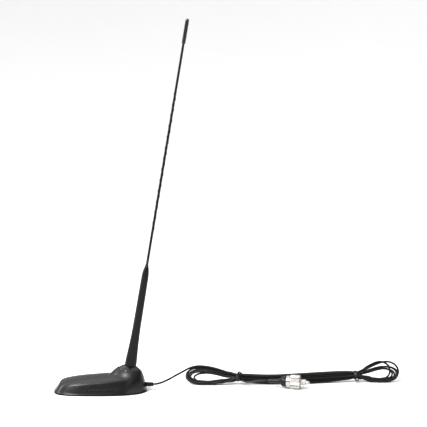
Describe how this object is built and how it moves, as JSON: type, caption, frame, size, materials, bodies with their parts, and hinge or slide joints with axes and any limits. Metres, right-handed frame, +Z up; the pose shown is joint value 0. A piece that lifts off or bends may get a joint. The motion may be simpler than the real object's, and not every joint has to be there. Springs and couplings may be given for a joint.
{
  "type": "omnidirectional antenna",
  "caption": "Magnetic-mount mobile radio whip antenna: slipper-shaped base, leaning screw-on mast with spiral whip, tied coaxial lead with UHF plug.",
  "frame": {"origin": "centre of the base's underside, on the surface that the magnets hold to", "axes": "+X to the rear of the base, where the lead leaves and the mast leans; +Y to the left seen from the rear; +Z up"},
  "size_m": [0.4539, 0.0905, 0.4801],
  "materials": {
    "shell_plastic": "satin moulded ABS, fine grain",
    "collar_plastic": "glossy moulded ABS",
    "pad_rubber": "matt soft rubber",
    "inner_plastic": "matt moulded ABS",
    "mast_plastic": "matt moulded nylon",
    "whip_plastic": "satin extruded jacket",
    "cable_jacket": "satin PVC jacket",
    "tie_plastic": "plastic-coated wire tie",
    "steel": "zinc-plated steel",
    "ferrite": "sintered ferrite, matt dark grey",
    "brass": "turned brass",
    "copper_wire": "enamelled copper wire",
    "nickel": "bright nickel plate",
    "dark_nickel": "black nickel plate, satin",
    "board_laminate": "glass-epoxy laminate",
    "fibreglass": "pultruded fibreglass rod",
    "ceramic": "dipped ceramic",
    "pale_insulator": "moulded insulator"
  },
  "bodies": {
    "base": {"base_shell": "shell_plastic", "base_pad": "pad_rubber", "bottom_tray": "inner_plastic", "tray_screw_1": "steel", "tray_screw_2": "steel", "tray_screw_3": "steel", "tray_screw_4": "steel", "magnet_front": "ferrite", "magnet_rear": "ferrite", "yoke_plate": "steel", "match_board": "board_laminate", "matching_coil": "copper_wire", "match_capacitor": "ceramic", "feed_wire": "copper_wire", "coax_end": "cable_jacket", "strain_relief": "pad_rubber", "mast_collar": "collar_plastic", "mast_stud": "brass", "stud_insulator": "pale_insulator", "solder_tag": "brass", "stud_nut": "brass", "cable_lead": "cable_jacket", "cable_hank": "cable_jacket", "cable_tail": "cable_jacket", "twist_tie_left": "tie_plastic", "twist_tie_right": "tie_plastic", "plug_boot": "cable_jacket", "plug_reducer": "nickel", "plug_body": "nickel", "plug_insulator": "pale_insulator", "plug_pin": "nickel"},
    "washer": {"root_washer": "pad_rubber"},
    "mast": {"mast_ferrule": "brass", "mast_housing": "mast_plastic", "coil_former": "fibreglass", "loading_coil": "copper_wire", "whip_socket": "brass", "whip_ferrule": "dark_nickel", "whip_core": "steel", "whip_jacket": "whip_plastic", "tip_cap": "collar_plastic"},
    "ring": {"coupling_ring": "nickel"}
  },
  "joints": [
    {"name": "mast_unscrew", "type": "hinge", "parent": "base", "child": "washer", "pos_m": [0.0387, 0, 0.0334], "axis": [0.1659, 0, 0.9861], "range_deg": [0, 2880]},
    {"name": "mast_lift", "type": "slide", "parent": "washer", "child": "mast", "axis": [0.1659, 0, 0.9861], "range_m": [0, 0.008]},
    {"name": "ring_spin", "type": "hinge", "parent": "base", "child": "ring", "pos_m": [0.251, 0.01, 0.00915], "axis": [0.9781, -0.2079, 0], "continuous": true}
  ],
  "couplings": [
    {"joint": "mast_unscrew", "follows": "mast_lift", "rad_per_m": 6283.2}
  ]
}
